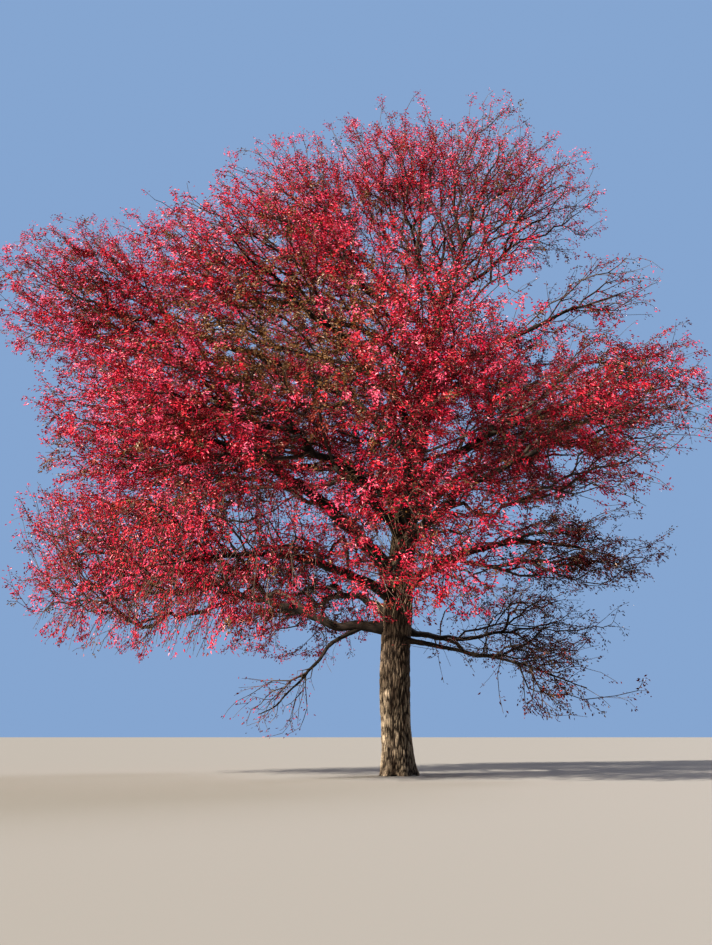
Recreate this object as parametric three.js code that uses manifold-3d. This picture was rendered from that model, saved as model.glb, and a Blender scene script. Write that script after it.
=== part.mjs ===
// A broad black gum in red autumn leaf, grown in the open: one trunk with its leader, the boughs that leave
// it, and the masses of twigs and leaves at their ends. +Z is up, +X is the photograph's right, +Y leads away
// from its camera, and the origin is the middle of the flat cut at ground level. Sizes are named in metres
// and turned to millimetres by METRE. Each leaf is as large as a whole spray of the real tree's small ones.
import * as THREE from "three";
import { mergeVertices } from "three/addons/utils/BufferGeometryUtils.js";
import Module from "manifold-3d";

const wasm = await Module();
wasm.setup();

const METRE = 1000;
const UP = new THREE.Vector3(0, 0, 1);
const radians = THREE.MathUtils.degToRad;
const { lerp } = THREE.MathUtils;

// Clearances, in millimetres
const SEAT_GAP = 0.3; // between a limb's foot and what carries it
const SPACE_GAP = 40; // between the spaces of two masses
const LIMB_GAP = 8; // that twigs and leaves keep to limbs of other masses
const CROSSING = 1; // nearer than this, two twigs or leaves count as crossing
const WELD = 0.05; // corners of a fused mass nearer than this are one

// Trunk: its middle line as [height, lean to +X, lean to +Y], then its girth
const TRUNK_LINE = [
  [0, 0, 0],
  [1.5, -0.05, 0.02],
  [3.4, 0.02, 0],
  [5.5, 0.25, 0.05],
  [7.4, 0.6, 0.02],
  [9.8, 0.98, 0],
];
const TRUNK_TOP = 9.8;
const TRUNK_RADIUS = 0.3;
const FORK_RADIUS = 0.115; // at the top of the trunk
const FIRST_BOUGHS = 3.2; // the trunk keeps its girth up to here
const TRUNK_TAPER = 0.75; // below 1 the trunk thins sooner above its first boughs
const FLARE = { share: 0.3, height: 0.28, lobes: 5, depth: 0.35 };
const TRUNK_SIDES = 12;
const TRUNK_RINGS = 13;
const RING_CROWDING = 1.6; // above 1 the trunk's rings lie closer together at its foot

// Boughs, stems and twigs
const BOUGH_SIDES = 6;
const BOUGH_STEPS = 5;
const STEM_SIDES = 5;
const STEM_STEPS = 2;
const TWIG_SIDES = 3;
const BOUGH_TIP = 0.5; // a bough's radius where it enters its mass, against its butt
const BOUGH_TAPER = 0.8;
const BOUGH_PULL = 0.38; // how far a bough keeps the slope of each end, against its length
const BOUGH_KNOTS = 7;
const SHARE_STEP = 0.01; // by which a bough's line is searched for where it enters its mass
const WELL_IN = 0.02; // share of its line that a bough runs on past there
const HEART_STEM = 0.032; // radius of a stem that leaves the trunk itself
const STEM_TIP = 0.02;
const TWIG_BUTT = 0.75; // a twig's radius at its butt, against what carries it
const TWIG_TIP = 0.012;
const TWIG_BEND = { at: 0.45, lean: 0.16 }; // it first leans the way its carrier runs
const SHORTEST_TWIG = 0.3;
const STRAIGHT_TWIG = 0.9; // a shorter twig has no bend
const STRIDE = 15; // millimetres between the points at which a space's depth is tried
const FULLNESS = 2.5; // power of a mass's rounded outline: 2 is an ellipsoid, and above 2 it is fuller
const PATH_SHARE = 0.55; // how far a twig prefers a joint near its stem's foot
const STEM_JOINTS = 6;
const LAST_JOINT = 0.97; // share of its line at which a stem bears its last twig
const FIRST_LEVEL = 1.2; // above 1 the first of a mass's twigs leans off its axis
const TWIG_JOINTS = [0.55, 1]; // shares of a twig at which others may leave it
const GOLDEN_TURN = (1 + Math.sqrt(5)) / 2; // of a full turn, between one twig's direction and the next
const SEED_TURN = 0.37; // of a full turn, between one mass and the next

// The blade that stands for a spray of leaves. widest and thickest are shares of its length from its root.
const BLADE = { length: 1.1, width: 0.74, thickness: 0.03, widest: 0.52, thickest: 0.12 };
const COVERED_BLADE = 0.9 * BLADE.thickest * BLADE.length * METRE; // its root, in which its twig ends
const BARE_BLADE = BLADE.length * METRE - COVERED_BLADE;
const SIDE_SHARES = [0.75, 0.35]; // where a twig bears its side blades, in the order in which they grow
const SIDE_SPLAYS = [52, 80, 24]; // degrees between a side blade and its twig, tried in this order
const ROLL = 60; // degrees to either side that a blade is turned about its length
const FLATTENED = 0.5; // what a side blade keeps of its twig's slope

// The crown, tier by tier. A mass's middle lies at a bearing, in degrees from +X towards +Y, and a reach
// from the origin's plumb line. foot is the height at which its bough leaves the trunk, and butt the bough's
// radius there: a mass with no butt springs from the trunk itself, and one with a fork from another bough at
// that share of the way. rise and lift are the bough's slope in degrees where it starts and where it enters
// its mass. half is the mass's half size outwards, sideways and up, twigs the number of its twigs beside the
// stem, and blades the most that it bears.
const TIERS = [
  {
    tier: "low",
    shape: { rise: 16, lift: -12, half: [2.1, 2.4, 1.5], twigs: 7, blades: 17 },
    masses: {
      east: {
        bearing: 4, reach: 3.8, height: 4.5, foot: 3.6, butt: 0.12,
        rise: 38, lift: -14, half: [1.8, 2.4, 0.9],
      },
      north_east: {
        bearing: 46, reach: 4.6, height: 3.15, foot: 2.9, butt: 0.075,
        rise: -12, lift: 8, half: [2, 2.2, 1.1],
      },
      north_west: { bearing: 118, reach: 4.9, height: 3.9, foot: 3.1, butt: 0.11 },
      west: {
        bearing: 180, reach: 5.7, height: 4.3, foot: 2.85, butt: 0.11,
        rise: 2, lift: 8, half: [2.05, 2.8, 2.1],
      },
      south_west: { bearing: 229, reach: 5.2, height: 3.8, foot: 3.45, butt: 0.12, half: [2.1, 2.4, 1.8] },
      south: { bearing: 275, reach: 4.7, height: 4.3, foot: 3.9, butt: 0.11, half: [2.1, 2.6, 1.75] },
      south_east: {
        bearing: 319, reach: 3.8, height: 1.8, foot: 2.7, butt: 0.06,
        rise: -14, lift: -20, half: [1.7, 1.4, 0.85],
      },
    },
  },
  {
    tier: "mid",
    shape: { rise: 42, lift: 6, half: [2.1, 2.5, 1.7], twigs: 7, blades: 17 },
    masses: {
      east: { bearing: 354, reach: 4.65, height: 7.55, foot: 5.6, butt: 0.11, half: [2, 2.6, 1.5] },
      north_east: { bearing: 42, reach: 4.8, height: 7, foot: 4.9, butt: 0.11, half: [1.9, 2.1, 1.2] },
      north: { bearing: 92, reach: 5.9, height: 6.3, foot: 4.5, butt: 0.12 },
      north_west: { bearing: 140, reach: 5.8, height: 6.8, foot: 5.2, butt: 0.12 },
      west: {
        bearing: 186, reach: 5.35, height: 6.9, foot: 3.8, butt: 0.16,
        rise: 50, lift: 4, half: [2.1, 2.9, 1.7],
      },
      south_west: { bearing: 230, reach: 5.8, height: 6.6, foot: 4.7, butt: 0.12 },
      south: { bearing: 273, reach: 5.8, height: 6.9, foot: 4.9, butt: 0.115 },
      south_east: { bearing: 316, reach: 4.9, height: 6.15, foot: 4.4, butt: 0.115, half: [2, 1.9, 1.5] },
    },
  },
  {
    tier: "upper",
    shape: { rise: 52, lift: 24, half: [1.9, 2.2, 1.6], twigs: 7, blades: 17 },
    masses: {
      east: { bearing: 2, reach: 4.45, height: 9.8, foot: 7.5, butt: 0.08, half: [1.3, 1.4, 0.9], blades: 9 },
      north_east: { bearing: 54, reach: 4.4, height: 8.9, foot: 6.9, butt: 0.09, half: [1.8, 1.9, 1.7] },
      north_west: { bearing: 116, reach: 4.6, height: 9.7, foot: 7, butt: 0.09, half: [1.9, 2.3, 1.8] },
      far_west: { bearing: 175, reach: 6.5, height: 9.85, foot: 6.3, butt: 0.11, half: [2.15, 2.6, 1.55] },
      west: { bearing: 186, reach: 4.2, height: 10.1, foot: 7.9, butt: 0.085 },
      south_west: { bearing: 236, reach: 4.8, height: 9.2, foot: 6.6, butt: 0.095 },
      south_east: { bearing: 284, reach: 4.2, height: 8.9, foot: 6.7, butt: 0.095, half: [1.9, 1.6, 1.8] },
    },
  },
  {
    tier: "top",
    shape: { rise: 66, lift: 48, half: [1.5, 1.8, 1.5], twigs: 6, blades: 15 },
    masses: {
      crest: { bearing: 170, reach: 2, height: 11.8, foot: 8.6, butt: 0.075, half: [1.9, 2.4, 1.5] },
      west: { bearing: 0, reach: 0.1, height: 12.5, foot: 9.4, butt: 0.065, lift: 80, half: [1.9, 2.4, 1.6] },
      east: {
        bearing: 334, reach: 2.15, height: 12.15, foot: 9.3, butt: 0.065,
        lift: 62, half: [1.5, 2, 1.5],
      },
      far_east: { bearing: 8, reach: 3.25, height: 11.8, foot: 8.9, butt: 0.065, half: [1.3, 1.9, 1.25] },
      leader: { bearing: 62, reach: 2, height: 11.6, foot: 9.75, half: [1.9, 1.8, 1.5] },
    },
  },
  {
    tier: "heart",
    shape: { rise: 24, lift: 12, half: [1.6, 2, 1.6], twigs: 6, blades: 15 },
    masses: {
      east: { bearing: 16, reach: 2.9, height: 6.9, foot: 6.2 },
      north: { bearing: 112, reach: 2.9, height: 7.6, foot: 6.5 },
      west: { bearing: 204, reach: 2.9, height: 6.8, foot: 5.5 },
      crown: { bearing: 215, reach: 1.5, height: 10.3, foot: 8.2, rise: 50, lift: 40, half: [1.4, 2.2, 1.3] },
    },
  },
  {
    tier: "drooping",
    shape: { rise: -24, lift: -38, half: [1.1, 1.1, 0.7], twigs: 5, blades: 5 },
    masses: {
      west: { bearing: 181, reach: 2.45, height: 1.35, fork: { bough: "low_west", share: 0.1 }, butt: 0.055 },
    },
  },
];

const wood = new THREE.MeshStandardMaterial({ color: 0x5d4c40, roughness: 0.92, metalness: 0 });
const leafage = new THREE.MeshStandardMaterial({ color: 0xa8202f, roughness: 0.6, metalness: 0 });

// Solids and limbs

function solidOf(geometry) {
  geometry.deleteAttribute("normal");
  geometry.deleteAttribute("uv");
  const merged = mergeVertices(geometry, 1e-3);
  const vertProperties = merged.attributes.position.array;
  const triVerts = new Uint32Array(merged.index.array);
  return new wasm.Manifold(new wasm.Mesh({ numProp: 3, vertProperties, triVerts }));
}

function geometryOf(solid) {
  const { vertProperties, triVerts } = solid.getMesh();
  const geometry = new THREE.BufferGeometry();
  geometry.setAttribute("position", new THREE.BufferAttribute(vertProperties, 3));
  geometry.setIndex(new THREE.BufferAttribute(triVerts, 1));
  geometry.computeVertexNormals();
  return geometry;
}

// What stays of a solid once loose scraps and sealed hollows are dropped
function largestOf(solid) {
  return solid.decompose().reduce((best, piece) => (piece.volume() > best.volume() ? piece : best));
}

function moveVertices(geometry, move) {
  const position = geometry.getAttribute("position");
  const at = new THREE.Vector3();
  for (let i = 0; i < position.count; i++) {
    move(at.fromBufferAttribute(position, i));
    position.setXYZ(i, at.x, at.y, at.z);
  }
  return geometry;
}

// A round post about +Y, one unit long: y is the share of the way from butt to tip
function post(radiusAt, steps, sides) {
  const profile = [new THREE.Vector2(0, 0)];
  for (let i = 0; i <= steps; i++) profile.push(new THREE.Vector2(radiusAt(i / steps), i / steps));
  profile.push(new THREE.Vector2(0, 1));
  return new THREE.LatheGeometry(profile, sides);
}

// The post bent along the stretch of a curve between two shares of its length
function limb(curve, from, to, radiusAt, sides, steps) {
  const frames = [];
  const lengthwise = Math.abs(curve.getTangentAt(from).x) > 0.7;
  let side = lengthwise ? new THREE.Vector3(0, 1, 0) : new THREE.Vector3(1, 0, 0);
  for (let i = 0; i <= steps; i++) {
    const u = lerp(from, to, i / steps);
    const along = curve.getTangentAt(u);
    side = side.clone().addScaledVector(along, -side.dot(along)).normalize();
    frames.push({ at: curve.getPointAt(u), side, across: new THREE.Vector3().crossVectors(side, along) });
  }
  return solidOf(
    moveVertices(post(radiusAt, steps, sides), (p) => {
      const { at, side, across } = frames[Math.round(p.y * steps)];
      const { x, z } = p;
      p.copy(at).addScaledVector(side, x).addScaledVector(across, z);
    }),
  );
}

const taper = (butt, tip, power) => (t) => lerp(butt, tip, Math.pow(t, power));

// Trunk

const trunkLine = new THREE.CatmullRomCurve3(
  TRUNK_LINE.map(([height, east, north]) => new THREE.Vector3(east, north, height).multiplyScalar(METRE)),
);

function trunkCentre(height) {
  let [low, high] = [0, 1];
  while (high - low > 1e-7) {
    const middle = (low + high) / 2;
    if (trunkLine.getPoint(middle).z < height * METRE) low = middle;
    else high = middle;
  }
  return trunkLine.getPoint(low).setZ(height * METRE);
}

function trunkRadius(height) {
  const above = Math.max(0, height - FIRST_BOUGHS) / (TRUNK_TOP - FIRST_BOUGHS);
  const flare = 1 + FLARE.share * Math.exp(-height / FLARE.height);
  return lerp(TRUNK_RADIUS, FORK_RADIUS, Math.pow(above, TRUNK_TAPER)) * flare * METRE;
}

// Level rings, closer together at the root flare, whose lobes die out upwards
function trunkSolid(grown) {
  const heightAt = (share) => TRUNK_TOP * Math.pow(share, RING_CROWDING);
  const geometry = post((share) => trunkRadius(heightAt(share)) + grown, TRUNK_RINGS, TRUNK_SIDES);
  moveVertices(geometry, (p) => {
    const height = heightAt(p.y);
    const lobe = FLARE.share * FLARE.depth * Math.exp(-height / FLARE.height);
    const swell = 1 + lobe * Math.cos(FLARE.lobes * Math.atan2(p.z, p.x));
    const centre = trunkCentre(height);
    p.set(centre.x + p.x * swell, centre.y - p.z * swell, height * METRE + (p.y === 1 ? grown : 0));
  });
  return solidOf(geometry);
}

// Masses and the lines of their boughs

function sloped(outward, degrees) {
  const level = outward.clone().multiplyScalar(Math.cos(radians(degrees)));
  return level.addScaledVector(UP, Math.sin(radians(degrees)));
}

function planMasses() {
  const planned = {};
  for (const { tier, shape, masses } of TIERS) {
    for (const [side, own] of Object.entries(masses)) {
      const mass = { ...shape, ...own, name: `${tier}_${side}` };
      const bearing = radians(mass.bearing);
      const level = new THREE.Vector3(Math.cos(bearing), Math.sin(bearing), 0).multiplyScalar(mass.reach);
      mass.middle = level.setZ(mass.height).multiplyScalar(METRE);
      planned[mass.name] = mass;
    }
  }
  return planned;
}

const planned = planMasses();
const masses = Object.values(planned);

// A mass's own space: a full rounded form, less what lies nearer to another mass's middle
function holds(mass, p) {
  const from = p.clone().sub(mass.middle);
  const ways = [mass.outward, mass.sideways, UP];
  const shares = ways.map((way, k) => from.dot(way) / (mass.half[k] * METRE));
  return (
    shares.reduce((sum, share) => sum + Math.abs(share) ** FULLNESS, 0) <= 1 &&
    masses.every((other) => {
      const away = other.middle.clone().sub(mass.middle);
      return other === mass || from.dot(away) < (away.length() * (away.length() - SPACE_GAP)) / 2;
    })
  );
}

// How far a mass's space reaches from its middle in a direction, a stride or two short of its skin
function depthOf(mass, direction) {
  let depth = 0;
  while (holds(mass, mass.middle.clone().addScaledVector(direction, depth + 2 * STRIDE))) depth += STRIDE;
  return depth;
}

// Lays a bough's line from its start through the mass's middle, and on until a blade at its end would reach
// the skin
function layLine(mass) {
  const { fork } = mass;
  mass.start = fork ? planned[fork.bough].line.getPointAt(fork.share) : trunkCentre(mass.foot);
  mass.outward = mass.middle.clone().sub(mass.start).setZ(0).normalize();
  mass.sideways = new THREE.Vector3().crossVectors(UP, mass.outward);
  mass.axis = sloped(mass.outward, mass.lift);
  const pull = mass.middle.distanceTo(mass.start) * BOUGH_PULL;
  const way = new THREE.CubicBezierCurve3(
    mass.start,
    mass.start.clone().addScaledVector(sloped(mass.outward, mass.rise), pull),
    mass.middle.clone().addScaledVector(mass.axis, -pull),
    mass.middle,
  );
  const beyond = Math.max(depthOf(mass, mass.axis) - BARE_BLADE, SHORTEST_TWIG * METRE);
  const end = mass.middle.clone().addScaledVector(mass.axis, beyond);
  const knots = [...way.getSpacedPoints(BOUGH_KNOTS - 1), end];
  mass.line = new THREE.CatmullRomCurve3(knots, false, "centripetal");
}

masses.forEach(layLine);

// The share of its line at which a bough has come well into its mass
function entry(mass) {
  let share = 0;
  while (!holds(mass, mass.line.getPointAt(share))) share += SHARE_STEP;
  return share + WELL_IN;
}

// Twigs and blades

// Points on the skin of a mass's space, in directions wound evenly about its axis, nearest its foot first
function spots(mass, seed) {
  const found = [];
  for (let i = 0; i < mass.twigs; i++) {
    const level = 1 - (2 * i + FIRST_LEVEL) / mass.twigs;
    const ring = Math.sqrt(1 - level * level);
    const turn = (i * GOLDEN_TURN + seed * SEED_TURN) * 2 * Math.PI;
    const direction = mass.axis
      .clone()
      .multiplyScalar(level)
      .addScaledVector(mass.sideways, ring * Math.cos(turn))
      .addScaledVector(mass.axis.clone().cross(mass.sideways), ring * Math.sin(turn));
    found.push(mass.middle.clone().addScaledVector(direction, depthOf(mass, direction)));
  }
  return found.sort((p, q) => p.distanceTo(mass.stemFoot) - q.distanceTo(mass.stemFoot));
}

function withBox(solid) {
  return { solid, box: solid.boundingBox() };
}

function clearOf(solid, limbs) {
  const box = solid.boundingBox();
  return limbs.every((other) => {
    const apart = [0, 1, 2].some(
      (k) => other.box.min[k] - LIMB_GAP > box.max[k] || other.box.max[k] + LIMB_GAP < box.min[k],
    );
    return apart || other.solid.minGap(solid, LIMB_GAP) >= LIMB_GAP;
  });
}

// A blade of six faces from its root along a direction: flat below and ridged above, then rolled
function blade(root, along, roll) {
  const profile = [new THREE.Vector2(0, 0), new THREE.Vector2(1, 0.5), new THREE.Vector2(0, 1)];
  const level = new THREE.Vector3(along.y, -along.x, 0.001).normalize();
  const across = level.applyAxisAngle(along, radians(roll));
  const normal = new THREE.Vector3().crossVectors(across, along);
  return moveVertices(new THREE.LatheGeometry(profile, 3), (p) => {
    const { x, y, z } = p;
    const ridge = z > 0.9 ? BLADE.thickest : BLADE.widest;
    const share = y === 0.5 ? ridge : y;
    p.copy(root)
      .addScaledVector(along, share * BLADE.length * METRE)
      .addScaledVector(across, (x / Math.sqrt(3)) * BLADE.width * METRE)
      .addScaledVector(normal, (z / 1.5) * BLADE.thickness * METRE);
  });
}

function inSpace(geometry, mass) {
  const position = geometry.getAttribute("position");
  for (let i = 0; i < position.count; i++) {
    if (!holds(mass, new THREE.Vector3().fromBufferAttribute(position, i))) return false;
  }
  return true;
}

// The stem ends in a blade. Twigs run from the best joint grown so far towards each spot, and the blade at a
// twig's end has its point there. Pairs of side blades then leave stem and twigs. What would cross another
// or leave the space is left out.
function grow(mass, limbs, seed) {
  const stem = { solid: mass.stem, curve: mass.line, foot: mass.entry };
  const grown = [stem];
  const blades = [];
  const crosses = (solid, carrier) =>
    blades.some((other) => other.minGap(solid, CROSSING) < CROSSING) ||
    grown.some((other) => other !== carrier && other.solid.minGap(solid, CROSSING) < CROSSING);

  const addBlade = (carrier, root, way, turn) => {
    const roll = Math.sin((turn * GOLDEN_TURN + seed * SEED_TURN) * 2 * Math.PI) * ROLL;
    const geometry = blade(root, way, roll);
    if (!inSpace(geometry, mass)) return false;
    const solid = solidOf(geometry);
    if (!clearOf(solid, limbs) || crosses(solid, carrier)) return false;
    blades.push(solid);
    return true;
  };

  addBlade(stem, mass.line.getPointAt(1).addScaledVector(mass.axis, -COVERED_BLADE), mass.axis, mass.twigs);

  const joints = [];
  for (let i = 0; i <= STEM_JOINTS; i++) {
    const u = lerp(mass.entry, LAST_JOINT, i / STEM_JOINTS);
    const along = mass.line.getTangentAt(u);
    const path = (u - mass.entry) * mass.line.getLength();
    const radius = lerp(mass.tip, STEM_TIP * METRE, i / STEM_JOINTS);
    joints.push({ at: mass.line.getPointAt(u), along, path, radius, carrier: stem });
  }

  spots(mass, seed).forEach((spot, n) => {
    const cost = (joint) => joint.at.distanceTo(spot) + PATH_SHARE * joint.path;
    const ranked = [...joints].sort((a, b) => cost(a) - cost(b));
    for (const joint of ranked) {
      const way = spot.clone().sub(joint.at).normalize();
      const end = spot.clone().addScaledVector(way, -BARE_BLADE);
      const span = end.distanceTo(joint.at);
      if (span < SHORTEST_TWIG * METRE || end.clone().sub(joint.at).dot(way) < 0) continue;
      const bend = joint.at.clone().lerp(end, TWIG_BEND.at);
      bend.addScaledVector(joint.along, span * TWIG_BEND.lean);
      const curve = new THREE.QuadraticBezierCurve3(joint.at, bend, end);
      const radiusAt = taper(joint.radius * TWIG_BUTT, TWIG_TIP * METRE, 1);
      const solid = limb(curve, 0, 1, radiusAt, TWIG_SIDES, span < STRAIGHT_TWIG * METRE ? 1 : 2);
      if (!holds(mass, bend) || !clearOf(solid, limbs) || crosses(solid, joint.carrier)) continue;
      const twig = { solid, curve, foot: 0 };
      grown.push(twig);
      for (const t of TWIG_JOINTS) {
        const along = curve.getTangentAt(t);
        const path = joint.path + span * t;
        joints.push({ at: curve.getPointAt(t), along, path, radius: radiusAt(t), carrier: twig });
      }
      addBlade(twig, spot.clone().addScaledVector(way, -BLADE.length * METRE), way, n);
      break;
    }
  });

  for (const share of SIDE_SHARES) {
    grown.forEach((carrier, n) => {
      const u = lerp(carrier.foot, 1, share);
      const along = carrier.curve.getTangentAt(u);
      const flat = along.clone().setZ(along.z * FLATTENED).normalize();
      for (const hand of [1, -1]) {
        if (blades.length >= mass.blades) break;
        SIDE_SPLAYS.some((splay) => {
          const way = flat.clone().applyAxisAngle(UP, radians(hand * splay));
          return addBlade(carrier, carrier.curve.getPointAt(u), way, n + hand * grown.length);
        });
      }
    });
  }
  return [...grown.map((limbOrTwig) => limbOrTwig.solid), ...blades];
}

// Assembly

const tree = new THREE.Group();

function addNode(name, solid, material) {
  const mesh = new THREE.Mesh(geometryOf(solid), material);
  mesh.name = name;
  tree.add(mesh);
}

const trunk = trunkSolid(0);
addNode("trunk", trunk, wood);
const limbs = [withBox(trunk)];

// A grown limb's flat sides stand off by less than its corners do, so the corners grow by more than the gap
const grownBy = (sides) => SEAT_GAP / Math.cos(Math.PI / sides) ** 2;
const trunkSeat = trunkSolid(grownBy(TRUNK_SIDES));
const seats = [trunkSeat];

for (const mass of masses) {
  mass.entry = entry(mass);
  mass.stemFoot = mass.line.getPointAt(mass.entry);
  mass.tip = (mass.butt ? mass.butt * BOUGH_TIP : HEART_STEM) * METRE;
  const stemRadius = taper(mass.tip, STEM_TIP * METRE, 1);
  if (mass.butt) {
    const boughRadius = taper(mass.butt * METRE, mass.tip, BOUGH_TAPER);
    const whole = limb(mass.line, 0, mass.entry, boughRadius, BOUGH_SIDES, BOUGH_STEPS);
    const bough = largestOf(seats.reduce((solid, seat) => solid.subtract(seat), whole));
    const wider = (t) => boughRadius(t) + grownBy(BOUGH_SIDES);
    seats.push(limb(mass.line, 0, mass.entry, wider, BOUGH_SIDES, BOUGH_STEPS));
    limbs.push(withBox(bough));
    addNode(`bough_${mass.name}`, bough, wood);
    const foot = mass.entry + SEAT_GAP / mass.line.getLength();
    mass.stem = limb(mass.line, foot, 1, stemRadius, STEM_SIDES, STEM_STEPS);
  } else {
    const whole = limb(mass.line, 0, 1, stemRadius, STEM_SIDES, STEM_STEPS * 2);
    mass.stem = largestOf(whole.subtract(trunkSeat));
  }
}

masses.forEach((mass, n) => {
  const otherStems = masses.filter((other) => other !== mass).map((other) => withBox(other.stem));
  const solids = grow(mass, [...limbs, ...otherStems], n + 1);
  const fused = largestOf(wasm.Manifold.union(solids)).simplify(WELD);
  addNode(`mass_${mass.name}`, fused, leafage);
});

export default tree;
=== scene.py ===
import math

import bpy
import numpy as np
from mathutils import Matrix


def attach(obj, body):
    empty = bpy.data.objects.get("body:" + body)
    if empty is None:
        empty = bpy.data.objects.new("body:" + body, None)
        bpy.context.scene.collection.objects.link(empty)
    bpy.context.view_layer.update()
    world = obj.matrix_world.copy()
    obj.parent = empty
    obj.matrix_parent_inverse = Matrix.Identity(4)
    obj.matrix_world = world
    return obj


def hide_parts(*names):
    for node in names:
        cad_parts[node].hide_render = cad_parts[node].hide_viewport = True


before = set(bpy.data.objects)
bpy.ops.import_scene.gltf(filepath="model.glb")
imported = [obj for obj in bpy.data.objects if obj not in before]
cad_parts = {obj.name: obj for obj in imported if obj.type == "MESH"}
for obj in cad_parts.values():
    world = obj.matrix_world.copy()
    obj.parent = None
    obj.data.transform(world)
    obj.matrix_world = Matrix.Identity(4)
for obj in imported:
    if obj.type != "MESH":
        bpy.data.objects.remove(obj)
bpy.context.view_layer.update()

# Trunk
# The single trunk of an old black gum, rooted in the ground. It leans a little to +X above its first boughs
# and flares in low lobes where its roots start. Its bark is dry and grey-brown, broken by deep upright
# furrows into narrow blocky ridges. All sizes are in metres.

TRUNK_LINE = [  # its middle line as [height, lean to +X, lean to +Y]
    [0, 0, 0],
    [1.5, -0.05, 0.02],
    [3.4, 0.02, 0],
    [5.5, 0.25, 0.05],
    [7.4, 0.6, 0.02],
    [9.8, 0.98, 0],
]
TRUNK_TOP = 9.8
TRUNK_RADIUS = 0.3
FORK_RADIUS = 0.115  # at the trunk's top
FIRST_BOUGHS = 3.2  # the trunk tapers from here up
TRUNK_TAPER = 0.75
FLARE = {"share": 0.3, "height": 0.28, "lobes": 5.0, "depth": 0.35}
TRUNK_SIDES = 168
TRUNK_STEP = 0.03
UPPER_STEP = 0.08  # in the foliage, where the bark hardly shows
FOLIAGE_FROM = 3.6


def evenly(points, count):
    """The same line as that many points, spaced evenly along it"""
    walked = np.r_[0, np.cumsum(np.linalg.norm(np.diff(points, axis=0), axis=1))]
    at = np.linspace(0, walked[-1], count)
    return np.stack([np.interp(at, walked, points[:, k]) for k in range(3)], axis=1)


def flowing(points, count, between=60):
    """A line that flows through a few points, as evenly spaced points"""
    p = np.array(points, float)
    p = np.vstack([2 * p[0] - p[1], p, 2 * p[-1] - p[-2]])
    dense = []
    for a, b, c, d in zip(p, p[1:], p[2:], p[3:]):
        ab, bc, cd = (np.linalg.norm(step) ** 0.5 for step in (b - a, c - b, d - c))
        leave = ((b - a) / ab - (c - a) / (ab + bc) + (c - b) / bc) * bc
        arrive = ((c - b) / bc - (d - b) / (bc + cd) + (d - c) / cd) * bc
        t = np.linspace(0, 1, between, endpoint=False)[:, None]
        curl = 3 * (c - b) - 2 * leave - arrive
        dense.append(b + leave * t + curl * t**2 + (leave + arrive - 2 * (c - b)) * t**3)
    return evenly(np.vstack([*dense, p[-2:-1]]), count)


trunk_line = flowing([[east, north, height] for height, east, north in TRUNK_LINE], count=400)


def trunk_centre(height):
    east, north = (np.interp(height, trunk_line[:, 2], trunk_line[:, k]) for k in range(2))
    return np.array([east, north, height])


def trunk_radius(height):
    above = max(0, height - FIRST_BOUGHS) / (TRUNK_TOP - FIRST_BOUGHS)
    flare = 1 + FLARE["share"] * math.exp(-height / FLARE["height"])
    return (TRUNK_RADIUS + (FORK_RADIUS - TRUNK_RADIUS) * above**TRUNK_TAPER) * flare


def put(tree, kind, inputs=None, **settings):
    """Adds a node to a tree with its settings, and fills its inputs, or links them to a socket or to the
    first output of a node"""
    node = tree.nodes.new(kind)
    for name, value in settings.items():
        setattr(node, name, value)
    for key, value in (inputs or {}).items():
        if isinstance(value, bpy.types.Node):
            value = value.outputs[0]
        if isinstance(value, bpy.types.NodeSocket):
            tree.links.new(value, node.inputs[key])
        else:
            node.inputs[key].default_value = value
    return node


def growth_tree(name, **inputs):
    """A Geometry Nodes tree with named inputs: returns it with its input sockets, by name"""
    tree = bpy.data.node_groups.new(name, "GeometryNodeTree")
    tree.interface.new_socket("Geometry", in_out="OUTPUT", socket_type="NodeSocketGeometry")
    tree.interface.new_socket("Geometry", in_out="INPUT", socket_type="NodeSocketGeometry")
    for label, kind in inputs.items():
        tree.interface.new_socket(label, in_out="INPUT", socket_type=f"NodeSocket{kind}")
    return tree, tree.nodes.new("NodeGroupInput").outputs


# The tree that turns a path with a girth into a furrowed limb: first the tube, with each of its points'
# place on the bark and the length of limb behind it
bark_tree, given = growth_tree(
    "furrowed limb",
    sides="Int",
    furrow_spacing="Float",
    furrow_length="Float",
    furrow_depth="Float",
    knobs="Float",
    knob_length="Float",
    lobes="Float",
    lobe_depth="Float",
    lobe_height="Float",
    bark="Material",
)
STORED = {"data_type": "FLOAT", "domain": "POINT"}
girth, phase, turn, length = (
    put(bark_tree, "GeometryNodeInputNamedAttribute", {"Name": name}, data_type="FLOAT")
    for name in ("girth", "phase", "turned", "walked")
)
spline = put(bark_tree, "GeometryNodeSplineParameter").outputs
paths = put(bark_tree, "GeometryNodeMeshToCurve", {"Mesh": given["Geometry"]})
paths = put(
    bark_tree,
    "GeometryNodeStoreNamedAttribute",
    {"Geometry": paths, "Name": "walked", "Value": spline["Length"]},
    **STORED,
)
ring = put(bark_tree, "GeometryNodeCurvePrimitiveCircle", {"Resolution": given["sides"], "Radius": 1.0})
ring = put(
    bark_tree,
    "GeometryNodeStoreNamedAttribute",
    {"Geometry": ring, "Name": "turned", "Value": spline["Factor"]},
    **STORED,
)
tube = put(
    bark_tree,
    "GeometryNodeCurveToMesh",
    {"Curve": paths, "Profile Curve": ring, "Scale": girth, "Fill Caps": True},
)
angle = put(bark_tree, "ShaderNodeMath", {0: turn, 1: 2 * math.pi}, operation="MULTIPLY")
across = []
for wave in ("COSINE", "SINE"):
    swing = put(bark_tree, "ShaderNodeMath", {0: angle}, operation=wave)
    across.append(put(bark_tree, "ShaderNodeMath", {0: swing, 1: girth}, operation="MULTIPLY"))
up_limb = put(bark_tree, "ShaderNodeMath", {0: length, 1: phase}, operation="ADD")
place = put(bark_tree, "ShaderNodeCombineXYZ", {"X": across[0], "Y": across[1], "Z": up_limb})
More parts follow.
